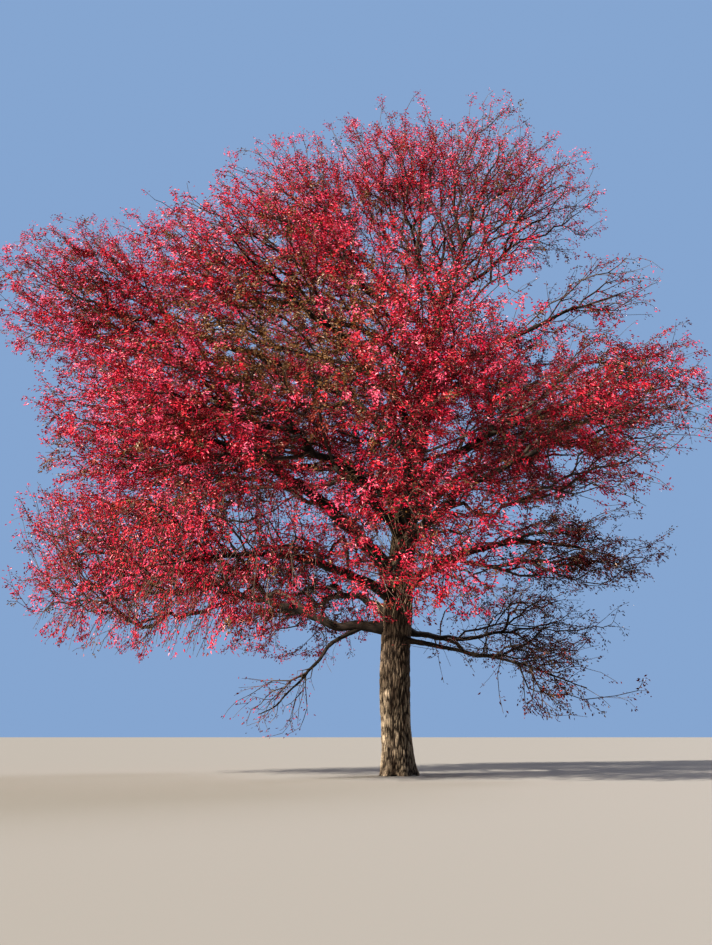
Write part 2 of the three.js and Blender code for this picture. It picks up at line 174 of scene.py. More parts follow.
tube = put(
    bark_tree,
    "GeometryNodeStoreNamedAttribute",
    {"Geometry": tube, "Name": "bark_place", "Value": place},
    data_type="FLOAT_VECTOR",
    domain="POINT",
)

# Ridges are the cells of a pattern that is stretched along the limb, and swirls a little
SWIRL = (1.1, 1.1, 1.1)
FURROW_EDGE = {"From Min": 0.02, "From Max": 0.2}  # of a cell, from its border inwards
place = put(bark_tree, "GeometryNodeInputNamedAttribute", {"Name": "bark_place"}, data_type="FLOAT_VECTOR")
finer = put(bark_tree, "ShaderNodeMath", {0: 1.0, 1: given["furrow_spacing"]}, operation="DIVIDE")
longer = put(bark_tree, "ShaderNodeMath", {0: 1.0, 1: given["furrow_length"]}, operation="DIVIDE")
cells = put(bark_tree, "ShaderNodeCombineXYZ", {"X": finer, "Y": finer, "Z": longer})
cells = put(bark_tree, "ShaderNodeVectorMath", {0: place, 1: cells}, operation="MULTIPLY")
swirl = put(bark_tree, "ShaderNodeTexNoise", {"Vector": cells, "Scale": 0.7, "Detail": 1.0})
swirl = put(
    bark_tree,
    "ShaderNodeVectorMath",
    {0: swirl.outputs["Color"], 1: SWIRL, 2: cells},
    operation="MULTIPLY_ADD",
)
edge = put(
    bark_tree,
    "ShaderNodeTexVoronoi",
    {"Vector": swirl, "Scale": 1.0, "Randomness": 0.9},
    feature="DISTANCE_TO_EDGE",
)
ridge = put(
    bark_tree,
    "ShaderNodeMapRange",
    {"Value": edge.outputs["Distance"], **FURROW_EDGE},
    interpolation_type="SMOOTHSTEP",
)
tube = put(
    bark_tree,
    "GeometryNodeStoreNamedAttribute",
    {"Geometry": tube, "Name": "ridge", "Value": ridge},
    **STORED,
)
sunk = put(bark_tree, "ShaderNodeMath", {0: ridge, 1: 1.0}, operation="SUBTRACT")
sunk = put(bark_tree, "ShaderNodeMath", {0: sunk, 1: given["furrow_depth"]}, operation="MULTIPLY")

# Knobs are slow lumps in the limb's outline, and lobes fade from the root flare upwards
slower = put(bark_tree, "ShaderNodeMath", {0: 1.0, 1: given["knob_length"]}, operation="DIVIDE")
slower = put(bark_tree, "ShaderNodeCombineXYZ", {"X": 1.0, "Y": 1.0, "Z": slower})
flutes = put(bark_tree, "ShaderNodeVectorMath", {0: place, 1: slower}, operation="MULTIPLY")
lumps = put(bark_tree, "ShaderNodeTexNoise", {"Vector": flutes, "Scale": 3.5, "Detail": 2.0})
lumps = put(bark_tree, "ShaderNodeMath", {0: lumps.outputs["Fac"], 1: 0.5}, operation="SUBTRACT")
lump_size = put(bark_tree, "ShaderNodeMath", {0: girth, 1: given["knobs"]}, operation="MULTIPLY")
lumps = put(bark_tree, "ShaderNodeMath", {0: lumps, 1: lump_size}, operation="MULTIPLY")
lobe = put(bark_tree, "ShaderNodeMath", {0: angle, 1: given["lobes"]}, operation="MULTIPLY")
lobe = put(bark_tree, "ShaderNodeMath", {0: lobe}, operation="COSINE")
fading = put(bark_tree, "ShaderNodeMath", {0: length, 1: given["lobe_height"]}, operation="DIVIDE")
fading = put(bark_tree, "ShaderNodeMath", {0: fading, 1: -1.0}, operation="MULTIPLY")
fading = put(bark_tree, "ShaderNodeMath", {0: fading}, operation="EXPONENT")
fading = put(bark_tree, "ShaderNodeMath", {0: fading, 1: given["lobe_depth"]}, operation="MULTIPLY")
lobe = put(bark_tree, "ShaderNodeMath", {0: lobe, 1: fading}, operation="MULTIPLY")
proud = put(bark_tree, "ShaderNodeMath", {0: sunk, 1: lumps}, operation="ADD")
proud = put(bark_tree, "ShaderNodeMath", {0: proud, 1: lobe}, operation="ADD")

# The points move in or out by all of these, and none goes below the ground
LEAST = (-99.0, -99.0, 0.0)
outwards = put(bark_tree, "GeometryNodeInputNormal").outputs["Normal"]
where = put(bark_tree, "GeometryNodeInputPosition")
offset = put(bark_tree, "ShaderNodeVectorMath", {0: outwards, "Scale": proud}, operation="SCALE")
moved = put(bark_tree, "ShaderNodeVectorMath", {0: where, 1: offset}, operation="ADD")
grounded = put(bark_tree, "ShaderNodeVectorMath", {0: moved, 1: LEAST}, operation="MAXIMUM")
shaped = put(bark_tree, "GeometryNodeSetPosition", {"Geometry": tube, "Position": grounded})
smooth = put(bark_tree, "GeometryNodeSetShadeSmooth", {"Geometry": shaped})
whole = put(bark_tree, "GeometryNodeRealizeInstances", {"Geometry": smooth})
finished = put(bark_tree, "GeometryNodeSetMaterial", {"Geometry": whole, "Material": given["bark"]})
put(bark_tree, "NodeGroupOutput", {0: finished})


def linear(hex_colour):
    """An sRGB hex value as linear red, green, blue and alpha"""
    shares = [int(hex_colour[k : k + 2], 16) / 255 for k in (0, 2, 4)]
    return [s / 12.92 if s <= 0.04045 else ((s + 0.055) / 1.055) ** 2.4 for s in shares] + [1.0]


def new_material(name):
    material = bpy.data.materials.new(name)
    material.use_nodes = True
    return material, material.node_tree, material.node_tree.nodes["Principled BSDF"]


MIX_SHARE, MIX_FROM, MIX_TO, MIXED = 0, 6, 7, 2  # a colour Mix node's inputs, and its output


def furrowed_bark(name, spacing, length, ridge_colours, furrow_colour, bump, painted_sunlit_foot=None):
    """Dry cork, grown in ridges that split apart: dull, mottled where weather greys it, dark in its furrows,
    and with a grain. It may be paler up to the first of two given heights and less so up to the second:
    painted sunlight on the foot, and painted shade of the crown above it"""
    material, tree, surface = new_material(name)
    place = put(tree, "ShaderNodeAttribute", attribute_name="bark_place").outputs["Vector"]
    ridge = put(tree, "ShaderNodeAttribute", attribute_name="ridge").outputs["Fac"]

    # Weathered patches are about 140 mm wide and 4 to 5 times as long
    streaks = put(tree, "ShaderNodeMapping", {"Vector": place, "Scale": (1, 1, 0.22)})
    patches = put(tree, "ShaderNodeTexNoise", {"Vector": streaks, "Scale": 7.0, "Detail": 4.0})
    weather = put(
        tree,
        "ShaderNodeMapRange",
        {"Value": patches.outputs["Fac"], "From Min": 0.32, "From Max": 0.58},
        interpolation_type="SMOOTHSTEP",
    )
    if painted_sunlit_foot:
        # Painted light: the pale weathered patches fade above the foot, so the foot looks sunlit and the
        # trunk above it lies in painted shade of the crown
        height = put(tree, "ShaderNodeSeparateXYZ", {"Vector": place}).outputs["Z"]
        pale = {"From Min": painted_sunlit_foot[0], "From Max": painted_sunlit_foot[1], "To Min": 1, "To Max": 0.15}
        foot = put(tree, "ShaderNodeMapRange", {"Value": height, **pale}, interpolation_type="SMOOTHSTEP")
        weather = put(tree, "ShaderNodeMath", {0: weather, 1: foot}, operation="MULTIPLY")
    tops = put(
        tree,
        "ShaderNodeMix",
        {MIX_SHARE: weather, MIX_FROM: linear(ridge_colours[0]), MIX_TO: linear(ridge_colours[1])},
        data_type="RGBA",
    )

    # Real cork has a grain of 1 to 3 mm, too fine to show, so it is drawn a third of a ridge wide and long
    strands = put(
        tree, "ShaderNodeMapping", {"Vector": place, "Scale": (1 / spacing, 1 / spacing, 1 / length)}
    )
    grain = put(
        tree, "ShaderNodeTexNoise", {"Vector": strands, "Scale": 3.0, "Detail": 5.0, "Roughness": 0.65}
    ).outputs["Fac"]
    cork = put(
        tree, "ShaderNodeMapRange", {"Value": grain, "From Min": 0.32, "From Max": 0.66, "To Min": 0.25}
    )
    depth = put(tree, "ShaderNodeMath", {0: ridge, 1: cork}, operation="MULTIPLY")
    colour = put(
        tree,
        "ShaderNodeMix",
        {MIX_SHARE: depth, MIX_FROM: linear(furrow_colour), MIX_TO: tops.outputs[MIXED]},
        data_type="RGBA",
    )
    relief = put(tree, "ShaderNodeBump", {"Height": grain, "Distance": bump, "Strength": 0.7})
    tree.links.new(colour.outputs[MIXED], surface.inputs["Base Color"])
    tree.links.new(relief.outputs[0], surface.inputs["Normal"])
    surface.inputs["Roughness"].default_value = 0.92
    surface.inputs["IOR"].default_value = 1.45
    return material


def path_mesh(name, paths, **attributes):
    """A mesh of open paths, and for each of its points a number of each named attribute"""
    mesh = bpy.data.meshes.new(name)
    firsts = np.cumsum([0, *[len(path) for path in paths]])
    edges = np.concatenate(
        [np.stack([np.arange(a, b - 1), np.arange(a + 1, b)], axis=1) for a, b in zip(firsts, firsts[1:])]
    )
    points = np.concatenate(paths)
    mesh.vertices.add(len(points))
    mesh.vertices.foreach_set("co", points.astype(np.float32).ravel())
    mesh.edges.add(len(edges))
    mesh.edges.foreach_set("vertices", edges.astype(np.int32).ravel())
    for label, values in attributes.items():
        values = np.concatenate(values).astype(np.float32)
        kind = "FLOAT" if values.ndim == 1 else "FLOAT_VECTOR"
        attribute = mesh.attributes.new(label, kind, "POINT")
        attribute.data.foreach_set("value" if kind == "FLOAT" else "vector", values.ravel())
    return mesh


def in_scene(name, data):
    """A new object in the scene, made of that mesh, light or camera"""
    thing = bpy.data.objects.new(name, data)
    bpy.context.scene.collection.objects.link(thing)
    return thing


def grown(name, mesh, tree, **inputs):
    """The plain mesh object that a Geometry Nodes tree makes of a mesh"""
    piece = in_scene(name, mesh)
    modifier = piece.modifiers.new("growth", "NODES")
    modifier.node_group = tree
    for item in tree.interface.items_tree:
        if item.in_out == "INPUT" and item.name in inputs:
            modifier[item.identifier] = inputs[item.name]
    shape = bpy.data.meshes.new_from_object(piece.evaluated_get(bpy.context.evaluated_depsgraph_get()))
    piece.modifiers.clear()
    piece.data = shape
    shape.name = name
    bpy.data.meshes.remove(mesh)
    return piece


rings = [
    *np.arange(0, FOLIAGE_FROM, TRUNK_STEP),
    *np.arange(FOLIAGE_FROM, TRUNK_TOP, UPPER_STEP),
    TRUNK_TOP,
]
trunk_path = np.array([trunk_centre(height) for height in rings])
trunk_path[1, :2] = trunk_path[0, :2]  # the lowest ring lies level
trunk = grown(
    "trunk_bark",
    path_mesh(
        "trunk_path",
        [trunk_path],
        girth=[np.array([trunk_radius(point[2]) for point in trunk_path])],
        phase=[np.zeros(len(trunk_path))],
    ),
    bark_tree,
    sides=TRUNK_SIDES,
    furrow_spacing=0.045,
    furrow_length=0.26,
    furrow_depth=0.02,
    knobs=0.3,
    knob_length=5.0,
    lobes=FLARE["lobes"],
    lobe_depth=FLARE["share"] * FLARE["depth"] * TRUNK_RADIUS,
    lobe_height=FLARE["height"],
    bark=furrowed_bark(
        "black_gum_trunk_bark",
        spacing=0.03,
        length=0.12,
        # The weathered patches' pale colour is made extra light, and they show mostly below 1.125 m and fade
        # by 2.5 m: painted sunlight on the foot and painted shade of the crown above it
        ridge_colours=("6d5d50", "e6d6be"),
        furrow_colour="211915",
        bump=0.012,
        painted_sunlit_foot=(1.125, 2.5),
    ),
)
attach(trunk, "root")
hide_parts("trunk")


# Boughs
# The boughs leave the trunk at a steeper slope the higher they start, sag under their own weight when they
# are low, and thin to half their girth before they enter their mass of foliage. Their bark is more finely
# cracked than the trunk's, and nearly black: painted shade of the foliage about them. Each goes on inside
# its mass as the stem that the twigs leave.

SPACE_GAP = 0.04  # between the spaces of neighbouring masses
FULLNESS = 2.5  # power of a mass's rounded outline: 2 is an ellipsoid, and above 2 it is fuller
BOUGH_TIP = 0.5  # share of its butt's radius
BOUGH_TAPER = 0.8
BOUGH_PULL = 0.38  # how long a bough keeps its first slope
HEART_STEM = 0.032  # radius of the stem of a mass that has no bough
HEART_BUTT = HEART_STEM * 1.3
STEM_TIP = 0.012
COLLAR = {"swell": 0.45, "length": 0.22}  # where a bough leaves the trunk
BARE_BLADE = 0.9812  # how far the line stops short of its mass's skin
SHORTEST_TWIG = 0.3
LIMB_POINTS = 101
ENTRY_DEPTH = 0.02  # share of its line by which a bough is inside its mass when it counts as there
WANDER = 0.035  # how far a limb strays from its plain line
WANDER_LENGTH = 1.9
WANDER_WAVES = 4
TRUE_START = 1.2  # over which a limb starts to stray
UP = np.array([0.0, 0.0, 1.0])

TIERS = {  # the slopes and half sizes that a tier's masses have, unless a mass has its own
    "low": dict(rise=16, lift=-12, half=(2.1, 2.4, 1.5)),
    "mid": dict(rise=42, lift=6, half=(2.1, 2.5, 1.7)),
    "upper": dict(rise=52, lift=24, half=(1.9, 2.2, 1.6)),
    "top": dict(rise=66, lift=48, half=(1.5, 1.8, 1.5)),
    "heart": dict(rise=24, lift=12, half=(1.6, 2.0, 1.6)),
    "drooping": dict(rise=-24, lift=-38, half=(1.1, 1.1, 0.7)),
}

# A mass has:
# - bearing in degrees, reach and height: its middle
# - foot: the height at which its bough leaves the trunk, or else fork: the bough that it leaves, and where
# - butt: the bough's radius there. Without it, the mass stands on the trunk by a short stem
# - rise and lift: the bough's slope in degrees at its foot, and at the mass's middle
# - half: half its size outwards, sideways and up
# - leafage, twigs and side: shares of the usual leaves, twigs, and twigs along the bare bough
# - bright: how much brighter its leaves' tints are, where below 0 it is painted shade of the crown, and
#   hanging: that its lowest shoots droop
MASSES = {
    "low_east": dict(bearing=4, reach=3.8, height=4.5, foot=3.6, butt=0.12, rise=38, lift=-14,
        half=(1.8, 2.4, 0.9), leafage=0.8, twigs=1.5, bright=-1.6, side=2.4),
    "low_north_east": dict(bearing=46, reach=4.6, height=3.15, foot=2.9, butt=0.075, rise=-12, lift=8,
        half=(2.0, 2.2, 1.1), leafage=0.35, twigs=1.3, bright=-1.5),
    "low_north_west": dict(bearing=118, reach=4.9, height=3.9, foot=3.1, butt=0.11),
    "low_west": dict(bearing=180, reach=5.7, height=4.3, foot=2.85, butt=0.11, rise=2, lift=8,
        half=(2.05, 2.8, 2.1), leafage=0.9, twigs=1.2, hanging=True),
    "low_south_west": dict(bearing=229, reach=5.2, height=3.8, foot=3.45, butt=0.12,
        half=(2.1, 2.4, 1.8), leafage=0.8, twigs=1.2, hanging=True),
    "low_south": dict(bearing=275, reach=4.7, height=4.3, foot=3.9, butt=0.11,
        half=(2.1, 2.6, 1.75), leafage=0.85),
    "low_south_east": dict(bearing=319, reach=3.8, height=1.8, foot=2.7, butt=0.06, rise=-14, lift=-20,
        half=(1.7, 1.4, 0.85), leafage=0.38, twigs=1.2, bright=-2.2),
    "mid_east": dict(bearing=354, reach=4.65, height=7.55, foot=5.6, butt=0.11, half=(2.0, 2.6, 1.5)),
    "mid_north_east": dict(bearing=42, reach=4.8, height=7.0, foot=4.9, butt=0.11,
        half=(1.9, 2.1, 1.2), leafage=0.7),
    "mid_north": dict(bearing=92, reach=5.9, height=6.3, foot=4.5, butt=0.12),
    "mid_north_west": dict(bearing=140, reach=5.8, height=6.8, foot=5.2, butt=0.12),
    "mid_west": dict(bearing=186, reach=5.35, height=6.9, foot=3.8, butt=0.16, rise=50, lift=4,
        half=(2.1, 2.9, 1.7)),
    "mid_south_west": dict(bearing=230, reach=5.8, height=6.6, foot=4.7, butt=0.12, leafage=1.3),
    "mid_south": dict(bearing=273, reach=5.8, height=6.9, foot=4.9, butt=0.115, leafage=1.3),
    "mid_south_east": dict(bearing=316, reach=4.9, height=6.15, foot=4.4, butt=0.115, half=(2.0, 1.9, 1.5)),
    "upper_east": dict(bearing=2, reach=4.45, height=9.8, foot=7.5, butt=0.08,
        half=(1.3, 1.4, 0.9), leafage=0.32, twigs=1.5),
    "upper_north_east": dict(bearing=54, reach=4.4, height=8.9, foot=6.9, butt=0.09, half=(1.8, 1.9, 1.7)),
    "upper_north_west": dict(bearing=116, reach=4.6, height=9.7, foot=7.0, butt=0.09, half=(1.9, 2.3, 1.8)),
    "upper_far_west": dict(bearing=175, reach=6.5, height=9.85, foot=6.3, butt=0.11,
        half=(2.15, 2.6, 1.55), leafage=1.15, twigs=1.15),
    "upper_west": dict(bearing=186, reach=4.2, height=10.1, foot=7.9, butt=0.085),
    "upper_south_west": dict(bearing=236, reach=4.8, height=9.2, foot=6.6, butt=0.095),
    "upper_south_east": dict(bearing=284, reach=4.2, height=8.9, foot=6.7, butt=0.095, half=(1.9, 1.6, 1.8)),
    "top_crest": dict(bearing=170, reach=2.0, height=11.8, foot=8.6, butt=0.075,
        half=(1.9, 2.4, 1.5), leafage=0.85, twigs=1.15),
    "top_west": dict(bearing=0, reach=0.1, height=12.5, foot=9.4, butt=0.065, lift=80,
        half=(1.9, 2.4, 1.6), leafage=0.75, twigs=1.2),
    "top_east": dict(bearing=334, reach=2.15, height=12.15, foot=9.3, butt=0.065, lift=62,
        half=(1.5, 2.0, 1.5), leafage=0.65, twigs=1.2),
    "top_far_east": dict(bearing=8, reach=3.25, height=11.8, foot=8.9, butt=0.065,
        half=(1.3, 1.9, 1.25), leafage=0.55),
    "top_leader": dict(bearing=62, reach=2.0, height=11.6, foot=9.75, half=(1.9, 1.8, 1.5), leafage=0.35),
    "heart_east": dict(bearing=16, reach=2.9, height=6.9, foot=6.2),
    "heart_north": dict(bearing=112, reach=2.9, height=7.6, foot=6.5),
    "heart_west": dict(bearing=204, reach=2.9, height=6.8, foot=5.5, leafage=1.5),
    "heart_crown": dict(bearing=215, reach=1.5, height=10.3, foot=8.2, rise=50, lift=40,
        half=(1.4, 2.2, 1.3), leafage=1.1),
    "drooping_west": dict(bearing=181, reach=2.45, height=1.35, fork=("low_west", 0.1), butt=0.055,
        leafage=0.12),
}


def unit(v):
    return v / np.linalg.norm(v, axis=-1, keepdims=True)


def spot_on(line, share):
    """The point at a share of an evenly spaced line"""
    at = share * (len(line) - 1)
    low = min(int(at), len(line) - 2)
    return line[low] + (line[low + 1] - line[low]) * (at - low)


def sloped(outward, degrees):
    return outward * math.cos(math.radians(degrees)) + UP * math.sin(math.radians(degrees))


masses = {}
for name, own in MASSES.items():
    tier = name.split("_")[0]
    mass = {**TIERS[tier], **own, "tier": tier}
    bearing = math.radians(mass["bearing"])
    level = np.array([math.cos(bearing), math.sin(bearing), 0]) * mass["reach"]
    mass["middle"] = level + UP * mass["height"]
    masses[name] = mass
middles = np.array([mass["middle"] for mass in masses.values()])


def skin_and_walls(mass, points):
    """How near points are to a mass's rounded skin, and to its space's walls: 0 at its middle, 1 there"""
    off = points - mass["middle"]
    ways = np.array([mass["outward"], mass["sideways"], UP])
    share = (np.abs(off @ ways.T / mass["half"]) ** FULLNESS).sum(axis=-1) ** (1 / FULLNESS)
    away = np.array([m for m in middles - mass["middle"] if m @ m > 0])
    far = np.linalg.norm(away, axis=1)
    walls = off @ (2 * away / (far * (far - SPACE_GAP))[:, None]).T
    return share, walls.max(axis=-1)


def share_of_depth(mass, points):
    return np.maximum(*skin_and_walls(mass, points))


def lay_line(mass):
    """Lays a bough's line from its start through its mass's middle, and on almost to the mass's skin"""
    fork = mass.get("fork")
    start = spot_on(masses[fork[0]]["line"], fork[1]) if fork else trunk_centre(mass["foot"])
    mass["outward"] = unit((mass["middle"] - start) * [1, 1, 0])
    mass["sideways"] = np.cross(UP, mass["outward"])
    mass["axis"] = sloped(mass["outward"], mass["lift"])
    pull = np.linalg.norm(mass["middle"] - start) * BOUGH_PULL
    knots = [
        start,
        start + sloped(mass["outward"], mass["rise"]) * pull,
        mass["middle"] - mass["axis"] * pull,
        mass["middle"],
    ]
    t = np.linspace(0, 1, 200)[:, None]
    curve = sum(k * w for k, w in zip(knots, [(1 - t) ** 3, 3 * t * (1 - t) ** 2, 3 * t * t * (1 - t), t**3]))
    depth = 1 / share_of_depth(mass, mass["middle"] + mass["axis"])
    beyond = max(depth - BARE_BLADE, SHORTEST_TWIG)
    mass["line"] = flowing([*evenly(curve, count=7), mass["middle"] + mass["axis"] * beyond], LIMB_POINTS)
    inside = np.nonzero(share_of_depth(mass, mass["line"]) <= 1)[0]
    mass["entry"] = inside[0] / (LIMB_POINTS - 1) + ENTRY_DEPTH
    mass["long"] = np.linalg.norm(np.diff(mass["line"], axis=0), axis=1).sum()


def wandering(line, seed):
    """The line with the crooked growth of a real limb: it strays by a few slow waves, and starts true"""
    rng = np.random.default_rng(seed)
    walked = np.linspace(0, 1, len(line)) * np.linalg.norm(np.diff(line, axis=0), axis=1).sum()
    stray = np.zeros_like(line)
    for wave in range(WANDER_WAVES):
        reach = WANDER_LENGTH / (1 + 0.7 * wave)
        push = rng.normal(size=3) * WANDER / (1 + wave)
        stray += np.sin(2 * math.pi * (walked / reach + rng.random()))[:, None] * push
    return line + stray * np.clip(walked / TRUE_START, 0, 1)[:, None]


for n, mass in enumerate(masses.values()):
    lay_line(mass)
    mass["limb"] = wandering(mass["line"], n + 1)


def limb_girth(mass):
    """A limb's radius at each point of its line, from its butt to the tip of its stem"""
    share = np.linspace(0, 1, LIMB_POINTS)
    butt = mass.get("butt", HEART_BUTT)
    tip = butt * BOUGH_TIP if "butt" in mass else HEART_STEM
    bough = butt + (tip - butt) * np.clip(share / mass["entry"], 0, 1) ** BOUGH_TAPER
    stem = tip + (STEM_TIP - tip) * (share - mass["entry"]) / (1 - mass["entry"])
    inside = 0 if "fork" in mass else trunk_radius(min(mass["line"][0][2], TRUNK_TOP))
    clear = np.maximum(share * mass["long"] - inside, 0)
    collar = 1 + COLLAR["swell"] * np.exp(-clear / COLLAR["length"])
    return np.where(share < mass["entry"], bough, stem) * collar


APART = 10.0  # along the bark's pattern, so that no two limbs are cracked alike
boughs = grown(
    "boughs",
    path_mesh(
        "bough_paths",
        [mass["limb"] for mass in masses.values()],
        girth=[limb_girth(mass) for mass in masses.values()],
        phase=[np.full(LIMB_POINTS, APART * n) for n in range(len(masses))],
    ),
    bark_tree,
    sides=14,
    furrow_spacing=0.05,
    furrow_length=0.22,
    furrow_depth=0.007,
    knobs=0.5,
    knob_length=1.0,
    lobes=1.0,
    lobe_depth=0.0,
    lobe_height=1.0,
    bark=furrowed_bark(
        "black_gum_bough_bark",
        spacing=0.02,
        length=0.09,
        # Nearly black: painted shade of the foliage about the boughs
        ridge_colours=("28201c", "40352e"),
        furrow_colour="100b09",
        bump=0.006,
    ),
)
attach(boughs, "root")
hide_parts(*[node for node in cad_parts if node.startswith("bough_")])


# Twigs
# The young wood of each mass, and short twigs along its bough, smooth and grey-brown, grown by one rule: a
# twig runs to each of many evenly dealt spots, the nearest to the mass's foot first, from the joint that is
# least far, counted with the way back to the foot. A limb is as thick as the tips that it feeds ask for.

SPRAYS = 128  # for each cubic metre of a mass's half sizes multiplied together
GOLDEN_TURN = (1 + math.sqrt(5)) / 2
SEED_TURN = 0.37
EVEN_STEP = 0.7548776662  # deals the spots out evenly between the mass's middle and its skin
NEAREST_SPOT = 0.16  # share of the depth
SPOT_STRAY = 0.05
SKIN_INSET = 0.08
RAGGED = 0.36  # how deep the bays are between the tongues of a mass's outline
RAGGED_BELOW = {"plain": 1.2, "hanging": 2.0}  # how much deeper they are on its underside
TONGUE = 0.5
TWIG_SEED = 1000
JOINTS = 34  # of a stem, where twigs can leave it
LAST_JOINT = 0.985
BARE_BOUGH = 0.2  # share of a limb next to the trunk that bears no twigs
BARE_STEM = {"least": 0.25, "before entry": 0.12}  # the same where the mass has no bough of its own
SIDE_TWIGS = {"low": 12, "mid": 22, "upper": 34, "top": 30, "drooping": 10}  # for each metre of a bare bough
SIDE_TWIG_REACH = {"low": 0.85, "mid": 1.1, "upper": 1.4, "top": 1.4, "drooping": 0.6}
SIDE_TWIG_LEAST = 0.2
SIDE_LEAFAGE = 0.75
PATH_SHARE = 0.55  # what the way back to the foot adds to a distance
TURN_SHARE = 0.4  # what a turn away from the joint's own heading adds to it
SHORTEST_SHOOT = 0.06
LONGEST_STRAIGHT = 0.3
BEND = 0.1  # how far a longer one starts along its joint's heading, as a share of its length
ARCH = 0.03  # how far it rises over its middle
HANGING_ARCH = 0.14
HANGING_RISE = 0.5  # what a metre up or down adds to a distance where the shoots hang
TIP_GIRTH = 0.0038
PIPE = 2.3  # a limb's radius to this power is the sum of its twigs' to the same
TWIG_COLLAR = 1.15
THICK_TWIG = 0.009  # radius from which a twig has darker bark: painted shade of the crown's inside
EYE = np.array([-0.82, -28.0, 0.84])  # of the photograph, in the part's frame
SKY_GAPS = [  # middle and size of each, as seen against the trunk's upright plane, and how open it is
    ((-0.05, 4.7), (1.3, 1.7), 0.85),
    ((-3.5, 6.7), (0.6, 0.35), 0.8),
    ((-3.25, 5.17), (0.8, 0.45), 0.85),
    ((-3.2, 4.6), (0.9, 0.42), 0.8),
    ((-4.1, 4.6), (0.6, 0.3), 0.6),
    ((-2.35, 5.05), (0.5, 0.25), 0.6),
    ((-2.4, 3.7), (0.9, 0.3), 0.7),
    ((-6.3, 3.9), (0.6, 0.4), 0.7),
    ((-1.25, 6.1), (0.4, 0.3), 0.8),
    ((-5.5, 5.0), (0.6, 0.5), 0.6),
    ((-6.1, 4.3), (0.7, 0.4), 0.5),
    ((-2.5, 11.0), (0.6, 0.7), 0.7),
    ((0.5, 11.4), (0.8, 0.7), 0.8),
    ((0.95, 10.75), (0.7, 0.5), 0.7),
    ((3.15, 8.5), (0.7, 0.4), 0.6),
    ((4.2, 6.9), (0.8, 0.4), 0.7),
    ((4.3, 9.9), (2.0, 0.7), 0.4),
    ((5.0, 6.8), (0.8, 0.5), 0.6),
    ((6.0, 7.6), (0.8, 0.6), 0.6),
    ((3.5, 6.3), (1.1, 0.9), 0.9),
    ((4.0, 5.4), (1.1, 1.0), 0.95),
    ((4.7, 4.9), (2.0, 0.7), 0.9),
    ((5.9, 6.6), (1.2, 1.4), 0.6),
    ((3.1, 3.75), (1.3, 0.6), 0.4),
    ((3.9, 3.6), (1.4, 1.0), 0.75),
    ((4.2, 2.2), (1.4, 2.0), 0.85),
    ((1.9, 1.7), (1.8, 1.1), 0.9),
    ((3.9, 1.5), (1.2, 1.2), 0.7),
    ((-2.0, 2.7), (1.3, 0.7), 0.95),
    ((-7.4, 4.3), (0.8, 1.2), 0.8),
    ((-6.9, 8.0), (0.7, 1.4), 0.5),
    ((-5.9, 2.8), (1.4, 0.5), 0.8),
    ((2.3, 10.0), (1.9, 0.9), 0.9),
    ((2.6, 9.45), (1.2, 0.6), 0.9),
    ((3.5, 11.35), (1.4, 1.3), 0.5),
    ((0.2, 14.0), (4.6, 1.3), 0.85),
    ((2.5, 13.6), (1.2, 1.2), 0.6),
    ((-1.0, 13.0), (0.5, 0.9), 0.5),
    ((-3.0, 12.75), (0.9, 1.3), 0.7),
    ((-4.2, 12.0), (0.9, 0.5), 0.5),
    ((4.2, 10.1), (0.8, 0.8), 0.7),
    ((5.1, 9.1), (1.4, 0.9), 0.9),
]


def directions(mass, count, seed):
    """Directions wound evenly about a mass's axis"""
    level = 1 - (2 * np.arange(count) + 1) / count
    ring = np.sqrt(1 - level**2)
    turn = (np.arange(count) * GOLDEN_TURN + seed * SEED_TURN) * 2 * math.pi
    third = np.cross(mass["axis"], mass["sideways"])
    return (
        level[:, None] * mass["axis"]
        + (ring * np.cos(turn))[:, None] * mass["sideways"]
        + (ring * np.sin(turn))[:, None] * third
    )


def well_inside(points, middle, size):
    """How far points are inside an oval of that size, as seen against the trunk's upright plane from the
    photograph's place: 0 at its edge and beyond, and 1 from half-way in"""
    way = points - EYE
    shown = EYE[[0, 2]] + way[:, [0, 2]] * (-EYE[1] / way[:, 1])[:, None]
    off = np.linalg.norm((shown - middle) / np.multiply(size, 0.5), axis=1)
    return np.clip(2 * (1 - off), 0, 1)


def closes_gap(points, rng):
    """Which points would close a gap through which the photograph shows sky"""
    left_out = np.zeros(len(points), bool)
    for middle, size, how_open in SKY_GAPS:
        left_out |= rng.random(len(points)) < how_open * well_inside(points, middle, size)
    return left_out


def drift(points, reach, seed, waves=24, paces=(0.6, 1.6), strength=4.5):
    """A smooth random field over the crown, mostly between -1 and 1, that changes over about that reach"""
    rng = np.random.default_rng(seed)
    ways = unit(rng.normal(size=(waves, 3))) * rng.uniform(*paces, (waves, 1)) * math.pi / reach
    return np.cos(points @ ways.T + rng.random(waves) * 2 * math.pi).mean(axis=1) * strength


def beside_bough(mass, rng):
    """Spots close about a bough before it enters its mass, where its short twigs end"""
    spacing = 1 / (SIDE_TWIGS[mass["tier"]] * mass.get("side", 1) * mass["long"])
    shares = np.arange(BARE_BOUGH, mass["entry"], spacing)
    near = np.array([spot_on(mass["limb"], share) for share in shares]).reshape(-1, 3)
    ways = unit(rng.normal(size=near.shape))
    return near + ways * rng.uniform(SIDE_TWIG_LEAST, SIDE_TWIG_REACH[mass["tier"]], (len(near), 1))


